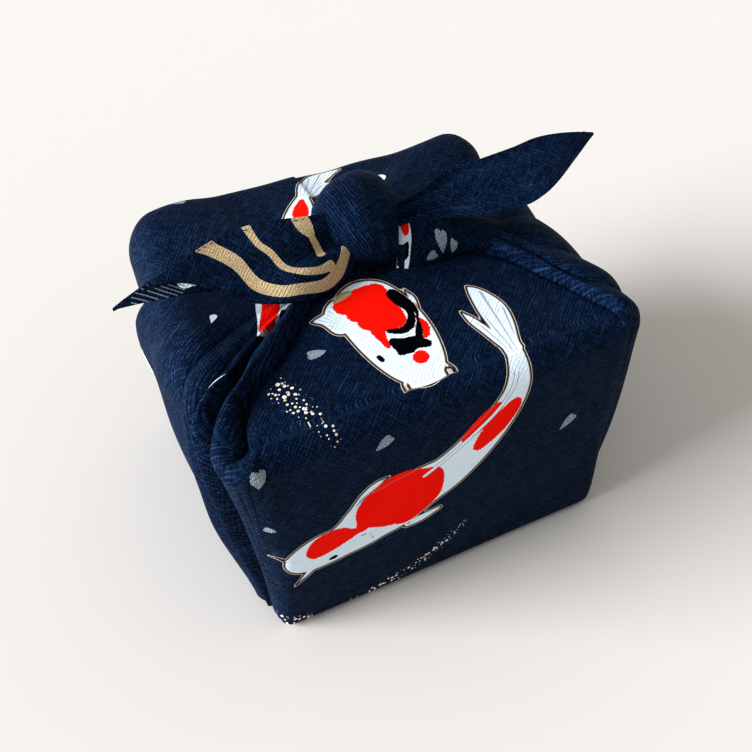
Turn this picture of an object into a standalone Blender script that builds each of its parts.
"""A furoshiki wrap: one square of cotton tied over a box-shaped load, as one solid.

The cloth is one piece, so it is one object. Its body is the filled bundle, its two wings are the
pleated sides that sweep up over the top, and they cross in a knot whose two ends stand out as ears.
All tables are in millimetres and in the bundle's own frame: X runs along the long side, the front
face looks along -Y, Z is up, and the origin is the middle of the face that the wrap rests on.
"""

import math

import bmesh
import bpy
import numpy as np

MM = 0.001

# The bundle
LENGTH = 145.0
WIDTH = 136.0
HEIGHT = 101.5
BASE_SHARE = 0.905
EDGE_RADIUS = 9.0
BACK_LEFT_RADIUS = 14.0
FOOT_RADIUS = 5.0
CROWN = 2.5
SIDE_BULGE = 2.5
BACK_LEAN = 3.0
CORNER_RISE = 3.0
CORNER_AT = (60.0, 58.0)
CORNER_REACH = 16.0
KNOT_RISE = 5.0
KNOT_RISE_REACH = 30.0
BUNDLE_CELLS = 20
EDGE_CLUSTER = 0.45

# The knot, whose middle is where the two wings cross
KNOT_AT = (0.0, 0.0)

# Cloth
EAR_THICKNESS = 2.0
ROOT_DEPTH = 8.0

# A wing's stations: how far along the cloth from the floor, up the side, over the edge and to the knot
LEFT_STATIONS = (1.5, 42.0, 82.0, 96.0, 106.0, 128.0, 144.0, 160.0)
RIGHT_STATIONS = (1.5, 42.0, 86.0, 105.0, 114.0, 124.0, 138.0, 158.0)

# Each row is one fold line of a wing, front to back: (place across, height off the bundle) at each station
LEFT_FOLDS = (
    ("front_root", (-57, -4), (-61, -4), (-64, -4), (-62, -4), (-58, -4), (-33, -4), (-24, -4), (-20, -4)),
    ("front_valley", (-56, 0), (-60, 0), (-63, 0), (-60, 0), (-53, -2), (-28, -1), (-20, 0), (-15, 2)),
    ("rolled_fold", (-55, 1), (-59, 3), (-60, 4), (-55, 5), (-47, 5), (-23, 6), (-16, 9), (-11, 13)),
    ("first_valley", (-53, 0), (-56, 0), (-54, 0), (-49, 0), (-41, 2), (-18, 5), (-12, 8), (-8, 13)),
    ("narrow_ridge", (-51, 2.5), (-52, 7), (-49, 7), (-44, 7), (-37, 6.5), (-15, 6), (-9, 8.5), (-5, 14)),
    ("second_valley", (-49, 1.5), (-48, 5), (-45, 4.5), (-41, 4.5), (-34, 5.5), (-13, 5), (-7, 8), (-3, 13)),
    ("broad_ridge", (-44, 4), (-41, 11), (-38, 9.5), (-35, 8.5), (-29, 8), (-10, 6), (-5, 8.5), (-1, 14)),
    ("slope", (-32, 3), (-28, 9), (-28, 9.5), (-27, 9.5), (-23, 8.5), (-7, 6), (-3, 8.5), (1, 14)),
    ("soft_ridge", (-14, 2), (-12, 7), (-15, 9.5), (-16, 10), (-14, 9.5), (-4, 6.5), (-1, 8.5), (3, 14)),
    ("panel", (12, 1.5), (12, 4.5), (5, 9), (2, 9.5), (0, 9), (1, 6), (2, 8), (5, 13)),
    ("back_edge", (46, 1.5), (42, 3), (27, 5), (19, 6), (14, 6), (6, 4.5), (6, 6), (8, 11)),
    ("back_root", (50, -4), (47, -4), (33, -4), (25, -4), (20, -4), (11, -4), (11, -4), (12, -4)),
)
RIGHT_FOLDS = (
    ("front_root", (-58, -4), (-62, -4), (-65, -4), (-66, -4), (-42, -4), (-20, -4), (-13, -4), (-18, -4)),
    ("front_valley", (-57, 0), (-61, 0), (-64, -1), (-64, -1), (-36, -1), (-15, -1), (-9, 0), (-14, 3)),
    ("lit_ridge", (-55, 5), (-59, 5), (-60, 3), (-57, 3), (-28, 5), (-10, 6), (-5, 8), (-10, 12)),
    ("first_valley", (-50, 3), (-53, 3), (-53, 2), (-46, 2.5), (-21, 3.5), (-7, 4.5), (-3, 7), (-7, 12)),
    ("second_ridge", (-45, 3), (-45, 6), (-42, 6), (-33, 6), (-15, 6), (-4, 6.5), (-1, 8.5), (-3, 13)),
    ("second_valley", (-36, 1.5), (-35, 3), (-30, 4), (-22, 4.5), (-10, 4.5), (-1, 5), (1, 7), (0, 12)),
    ("third_ridge", (-20, 2.5), (-17, 5), (-12, 6), (-9, 6), (-4, 5.5), (2, 6), (4, 8), (3, 13)),
    ("panel", (15, 2), (13, 3), (9, 4), (3, 4), (2, 4), (5, 4), (7, 6), (6, 12)),
    ("back_edge", (46, 1.5), (42, 2), (28, 2), (14, 2.5), (11, 2.5), (10, 3), (11, 4), (10, 9)),
    ("back_root", (50, -4), (47, -4), (33, -4), (19, -4), (17, -4), (15, -4), (15, -4), (14, -4)),
)
LEAST_STEP = 0.1
WING_CELLS_ACROSS = 26
WING_CELLS_ALONG = 22

# An ear's rows, from the knot to its tip: its back edge, its front edge, depth of its folds, height of its curl
LEFT_EAR = (
    ((-4, 6, 126), (-6, -8, 113), 2, 2),
    ((-15, 4, 128), (-18, -14, 112), 2, 3),
    ((-27, 6, 129), (-30, -15, 110), 2, 4),
    ((-39, 8, 129), (-43, -9, 110), 1.5, 4),
    ((-51, 7, 128), (-52, -3, 113), 1, 3),
    ((-63, 4, 126), (-62, -1, 116), 0.5, 2),
    ((-75, 1, 124), (-74, -1.5, 118.5), 0.2, 1),
    ((-88, -2, 121), (-88, -2.5, 120), 0, 0),
)
RIGHT_EAR = (
    ((10, 5, 121), (14, -3, 117), 1, 1),
    ((22, 4, 124), (28, -5, 119), 2, 2),
    ((36, 6, 128), (40, -12, 120), 2.5, 3),
    ((49, 3, 131), (54, -17, 122), 2, 3),
    ((60, 1, 133), (61, -18, 124), 1.5, 3),
    ((70, 1, 134), (68, -16, 126), 1, 2),
    ((80, -1, 134), (78, -11, 129), 0.5, 1),
    ((91, -3, 132), (91, -3.5, 131), 0, 0),
)
LEFT_EAR_WAVES = 1.5
RIGHT_EAR_WAVES = 2.5
EAR_CELLS_ACROSS = 12
EAR_CELLS_ALONG = 22

# The knot: a wide band arched over the crossing, and the roll beside it
DOME_MIDDLE = (1, 4, 117)
DOME_HALF = (15, 17, 14)
DOME_TURN = 15
ROLL_MIDDLE = (24, -6, 113)
ROLL_HALF = (14, 10, 9)
KNOT_CELLS = 10


def smooth(t):
    """A soft step from 0 to 1."""
    t = np.clip(t, 0.0, 1.0)
    return t * t * (3 - 2 * t)


def through(rows, at):
    """A smooth curve through evenly numbered rows, read at the fractional row numbers in at."""
    rows = np.asarray(rows, float)
    last = len(rows) - 1
    i = np.clip(np.floor(at).astype(int), 0, last - 1)
    t = (np.asarray(at) - i).reshape(-1, *([1] * (rows.ndim - 1)))
    before, start, end, after = (rows[np.clip(i + k, 0, last)] for k in (-1, 0, 1, 2))
    return 0.5 * (
        2 * start
        + (end - before) * t
        + (2 * before - 5 * start + 4 * end - after) * t**2
        + (3 * start - before - 3 * end + after) * t**3
    )


def grid_faces(across, along, first=0):
    """Quads of a grid of (across + 1) by (along + 1) points, numbered row by row."""
    step = across + 1
    return [
        (first + j * step + i, first + j * step + i + 1, first + (j + 1) * step + i + 1, first + (j + 1) * step + i)
        for j in range(along)
        for i in range(across)
    ]


def mesh_object(name, points, faces, collection):
    """A mesh object from points in millimetres, with its faces made to point outwards."""
    mesh = bpy.data.meshes.new(name)
    mesh.from_pydata([tuple(p * MM) for p in points], [], faces)
    form = bmesh.new()
    form.from_mesh(mesh)
    bmesh.ops.remove_doubles(form, verts=form.verts, dist=0.00002)
    bmesh.ops.recalc_face_normals(form, faces=form.faces)
    form.to_mesh(mesh)
    form.free()
    made = bpy.data.objects.new(name, mesh)
    collection.objects.link(made)
    return made


def cube_points(cells):
    """A cube's surface from -1 to 1, cut into cells, as a bmesh."""
    form = bmesh.new()
    bmesh.ops.create_cube(form, size=2.0)
    bmesh.ops.subdivide_edges(form, edges=form.edges, cuts=cells - 1, use_grid_fill=True)
    return form


def bundle_form(unit):
    """Points on the cube's surface laid on the wrapped bundle, in millimetres."""
    half = np.array([LENGTH, WIDTH, HEIGHT]) / 2
    spread = (1 - EDGE_CLUSTER) * unit + EDGE_CLUSTER * np.sin(unit * math.pi / 2)
    p = spread * half
    back_left = smooth(-unit[:, 0]) * smooth(unit[:, 1])
    low = smooth(-unit[:, 2])
    radius = EDGE_RADIUS + (BACK_LEFT_RADIUS - EDGE_RADIUS) * back_left
    radius = (radius + (FOOT_RADIUS - radius) * low)[:, None]
    core = np.clip(p, -(half - radius), half - radius)
    out = p - core
    normal = out / np.linalg.norm(out, axis=1, keepdims=True)
    p = core + radius * normal
    rise = (p[:, 2] + half[2]) / HEIGHT
    share = BASE_SHARE + (1 - BASE_SHARE) * smooth(rise * 0.5 + 0.25) / smooth(0.75)
    x, y = p[:, 0] / half[0], p[:, 1] / half[1]
    p[:, 0] *= share
    p[:, 1] *= share
    belly = np.sin(math.pi * np.clip(rise, 0, 1))
    p[:, 0] += np.sign(x) * np.abs(normal[:, 0]) * SIDE_BULGE * belly * (1 - y**2)
    p[:, 1] += np.sign(y) * np.abs(normal[:, 1]) * SIDE_BULGE * belly * (1 - x**2)
    p[:, 2] += half[2]
    top = np.clip(normal[:, 2], 0, 1)
    p[:, 1] += BACK_LEAN * np.clip(rise, 0, 1) * smooth(unit[:, 1])
    away = np.hypot(p[:, 0] - KNOT_AT[0], p[:, 1] - KNOT_AT[1])
    aside = np.hypot(p[:, 0] - CORNER_AT[0], p[:, 1] - CORNER_AT[1])
    p[:, 2] += top * CORNER_RISE * np.exp(-((aside / CORNER_REACH) ** 2))
    p[:, 2] += top * (CROWN * (1 - x**2) * (1 - y**2) + KNOT_RISE * np.exp(-((away / KNOT_RISE_REACH) ** 2)))
    return p


def bundle(name, collection):
    """The filled body of the wrap, as one closed mesh."""
    form = cube_points(BUNDLE_CELLS)
    unit = np.array([v.co for v in form.verts])
    for v, p in zip(form.verts, bundle_form(unit)):
        v.co = p * MM
    mesh = bpy.data.meshes.new(name)
    form.to_mesh(mesh)
    form.free()
    made = bpy.data.objects.new(name, mesh)
    collection.objects.link(made)
    return made


def path_point(along):
    """The line that a wing follows, up the side, over the edge and across the top, seen from the front.

    Returns its distance out from the middle, its height, and the direction away from the bundle.
    """
    up = HEIGHT - EDGE_RADIUS
    bend = EDGE_RADIUS * math.pi / 2
    half = LENGTH / 2
    angle = np.clip((along - up) / EDGE_RADIUS, 0, math.pi / 2)
    base = half * (BASE_SHARE + (1 - BASE_SHARE) * np.clip(along, 0, up) / up)
    out = np.where(along < up, base, half - EDGE_RADIUS + EDGE_RADIUS * np.cos(angle))
    out = out - np.clip(along - up - bend, 0, None)
    high = np.where(along < up, along, up + EDGE_RADIUS * np.sin(angle))
    return out, high, np.cos(angle), np.sin(angle)


def wing(name, folds, stations, side, collection):
    """A pleated wing of cloth as a closed form rooted in the bundle. side is -1 for left and 1 for right."""
    table = np.array([row[1:] for row in folds], float)
    across = np.linspace(0, len(folds) - 1, WING_CELLS_ACROSS + 1)
    rows = np.linspace(0, len(stations) - 1, WING_CELLS_ALONG + 1)
    along = through(np.array(stations)[:, None], rows)[:, 0]
    lines = through(np.swapaxes(table, 0, 1), rows)
    layers = []
    for drop in (False, True):
        points = []
        for line, d in zip(lines, along):
            section = through(line, across)
            section[:, 0] = np.maximum.accumulate(section[:, 0] + LEAST_STEP * across)
            out, high, nx, nz = path_point(np.full(len(section), d))
            h = np.full(len(section), -ROOT_DEPTH) if drop else np.maximum(section[:, 1], -5.0)
            x = side * (out + h * nx)
            points.append(np.stack([x, section[:, 0], np.maximum(high + h * nz, 0.0)], axis=1))
        layers.append(np.concatenate(points))
    return closed_sheet(name, layers, WING_CELLS_ACROSS, WING_CELLS_ALONG, collection)


def closed_sheet(name, layers, across, along, collection):
    """A closed form between two grids of points that share their numbering."""
    count = len(layers[0])
    upper = grid_faces(across, along)
    lower = [tuple(count + i for i in face) for face in grid_faces(across, along)]
    rim = (
        [i for i in range(across + 1)]
        + [j * (across + 1) + across for j in range(1, along + 1)]
        + [along * (across + 1) + i for i in range(across - 1, -1, -1)]
        + [j * (across + 1) for j in range(along - 1, 0, -1)]
    )
    walls = [(a, b, b + count, a + count) for a, b in zip(rim, rim[1:] + rim[:1])]
    return mesh_object(name, np.concatenate(layers), upper + lower + walls, collection)


def ear(name, rows, waves, collection):
    """A free end of the cloth, from the knot to its tip, as a sheet with its thickness."""
    table = np.array([(*back, *front, fold, curl) for back, front, fold, curl in rows], float)
    lines = through(table, np.linspace(0, len(rows) - 1, EAR_CELLS_ALONG + 1))
    side = np.linspace(-1, 1, EAR_CELLS_ACROSS + 1)
    spine = np.gradient((lines[:, :3] + lines[:, 3:6]) / 2, axis=0)
    layers = ([], [])
    for line, ahead in zip(lines, spine):
        back, front, fold, curl = line[:3], line[3:6], line[6], line[7]
        face = np.cross(ahead, back - front)
        face *= np.sign(face[2]) / np.linalg.norm(face)
        lift = fold * np.cos(side * math.pi * waves) + curl * (1 - side**2)
        middle = (back + front) / 2 + side[:, None] * (back - front) / 2 + lift[:, None] * face
        for k, layer in enumerate(layers):
            layer.append(middle + (0.5 - k) * EAR_THICKNESS * face)
    return closed_sheet(
        name, [np.concatenate(layer) for layer in layers], EAR_CELLS_ACROSS, EAR_CELLS_ALONG, collection
    )


def rounded(name, middle, half, turn, collection):
    """A soft rounded form of the knot, from a cube drawn in to a rounded block."""
    form = cube_points(KNOT_CELLS)
    unit = np.array([v.co for v in form.verts])
    angle = math.radians(turn)
    blunt = unit / (np.abs(unit) ** 3).sum(axis=1, keepdims=True) ** (1 / 3)
    p = blunt * np.array(half)
    p = np.stack(
        [
            p[:, 0] * math.cos(angle) - p[:, 1] * math.sin(angle),
            p[:, 0] * math.sin(angle) + p[:, 1] * math.cos(angle),
            p[:, 2],
        ],
        axis=1,
    ) + np.array(middle)
    for v, q in zip(form.verts, p):
        v.co = q * MM
    mesh = bpy.data.meshes.new(name)
    form.to_mesh(mesh)
    form.free()
    made = bpy.data.objects.new(name, mesh)
    collection.objects.link(made)
    return made


def cotton():
    """Navy cotton with a plain weave."""
    material = bpy.data.materials.new("navy_cotton")
    material.use_nodes = True
    shader = material.node_tree.nodes["Principled BSDF"]
    shader.inputs["Base Color"].default_value = (0.012, 0.022, 0.055, 1)
    shader.inputs["Roughness"].default_value = 0.85
    shader.inputs["Metallic"].default_value = 0.0
    return material


def main():
    for old in list(bpy.data.objects):
        bpy.data.objects.remove(old)
    shown = bpy.data.collections.new("furoshiki_wrap")
    guides = bpy.data.collections.new("joined_forms")
    for collection in (shown, guides):
        bpy.context.scene.collection.children.link(collection)
    cloth = bundle("furoshiki_cloth", shown)
    cloth.data.materials.append(cotton())
    forms = (
        wing("left_wing", LEFT_FOLDS, LEFT_STATIONS, -1, guides),
        wing("right_wing", RIGHT_FOLDS, RIGHT_STATIONS, 1, guides),
        rounded("knot_dome", DOME_MIDDLE, DOME_HALF, DOME_TURN, guides),
        rounded("knot_roll", ROLL_MIDDLE, ROLL_HALF, 0, guides),
        ear("left_ear", LEFT_EAR, LEFT_EAR_WAVES, guides),
        ear("right_ear", RIGHT_EAR, RIGHT_EAR_WAVES, guides),
    )
    for form in forms:
        form.hide_render = True
        form.display_type = "WIRE"
        join = cloth.modifiers.new(form.name, "BOOLEAN")
        join.operation = "UNION"
        join.solver = "EXACT"
        join.object = form
    cloth.data.shade_smooth()


main()
